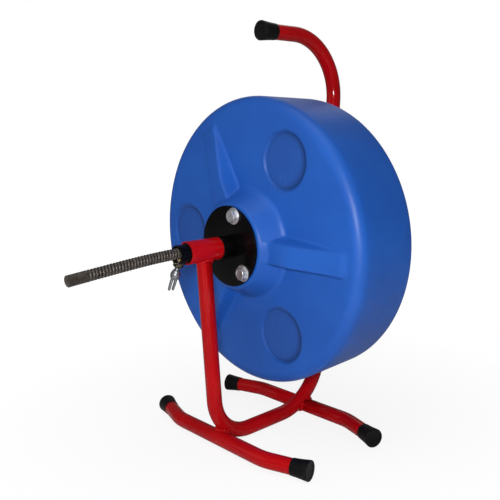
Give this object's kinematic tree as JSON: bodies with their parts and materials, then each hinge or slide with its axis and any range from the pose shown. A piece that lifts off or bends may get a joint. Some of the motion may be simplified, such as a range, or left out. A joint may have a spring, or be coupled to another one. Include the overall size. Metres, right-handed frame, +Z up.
{
  "type": "drain snake machine",
  "caption": "Hand-turned drain snake machine: a closed cable drum turns on two bearings in a bent tube frame with two cross feet, and a wing screw clamps the spring cable in its outlet shaft.",
  "frame": {"origin": "on the floor, below the middle of the machine without its free stretch of cable", "axes": "+Z up, -Y to the front, where the cable comes out along the drum's axis, +X to the right of someone who looks from the front"},
  "size_m": [0.44, 0.5138, 0.6385],
  "materials": {
    "red_paint": "gloss red paint",
    "cap_rubber": "satin black moulded rubber",
    "bush_plastic": "plain black bearing plastic",
    "drum_plastic": "satin blue moulded polyethylene",
    "black_steel": "gloss black coated steel, turned",
    "zinc_steel": "bright zinc plate",
    "yellow_zinc": "yellow passivated zinc plate",
    "wing_zinc": "zinc-plated forging",
    "pad_brass": "turned brass",
    "cable_steel": "dark oiled spring steel wire"
  },
  "bodies": {
    "frame": {"frame_tube": "red_paint", "front_bearing_tube": "red_paint", "rear_bearing_tube": "red_paint", "front_foot_tube": "red_paint", "rear_foot_tube": "red_paint", "front_left_foot_cap": "cap_rubber", "front_right_foot_cap": "cap_rubber", "rear_left_foot_cap": "cap_rubber", "rear_right_foot_cap": "cap_rubber", "handle_cap": "cap_rubber", "front_bearing_bushes": "bush_plastic", "rear_bearing_bush": "bush_plastic"},
    "drum": {"drum_shell": "drum_plastic", "front_flange_plate": "black_steel", "front_flange_bolts": "zinc_steel", "front_flange_washers": "zinc_steel", "front_backing_ring": "zinc_steel", "outlet_shaft": "black_steel", "stop_collar": "black_steel", "stop_collar_screw": "zinc_steel", "clamp_nut": "yellow_zinc", "rear_flange_plate": "black_steel", "rear_flange_bolts": "zinc_steel", "rear_flange_washers": "zinc_steel", "rear_backing_ring": "zinc_steel", "rear_axle": "black_steel", "snake_coil": "cable_steel", "snake_lead_in": "cable_steel", "tail_clip": "zinc_steel"},
    "clamp_pad": {"clamp_pad": "pad_brass"},
    "wing_screw": {"wing_screw": "wing_zinc"},
    "snake": {"snake_run": "cable_steel", "snake_stretch": "cable_steel"}
  },
  "joints": [
    {"name": "drum_spin", "type": "hinge", "parent": "frame", "child": "drum", "pos_m": [0, -0.0341, 0.307], "axis": [0, -1, 0], "continuous": true},
    {"name": "clamp_pad_travel", "type": "slide", "parent": "drum", "child": "clamp_pad", "axis": [-0.287, -0.1908, -0.9387], "range_m": [0, 0.00375]},
    {"name": "wing_screw_turn", "type": "hinge", "parent": "clamp_pad", "child": "wing_screw", "pos_m": [0, -0.1591, 0.307], "axis": [-0.287, -0.1908, -0.9387], "range_deg": [0, 1080]},
    {"name": "snake_feed", "type": "slide", "parent": "drum", "child": "snake", "axis": [0, -1, 0], "range_m": [0, 0.1]}
  ],
  "couplings": [
    {"joint": "wing_screw_turn", "follows": "clamp_pad_travel", "rad_per_m": 5026.5}
  ]
}
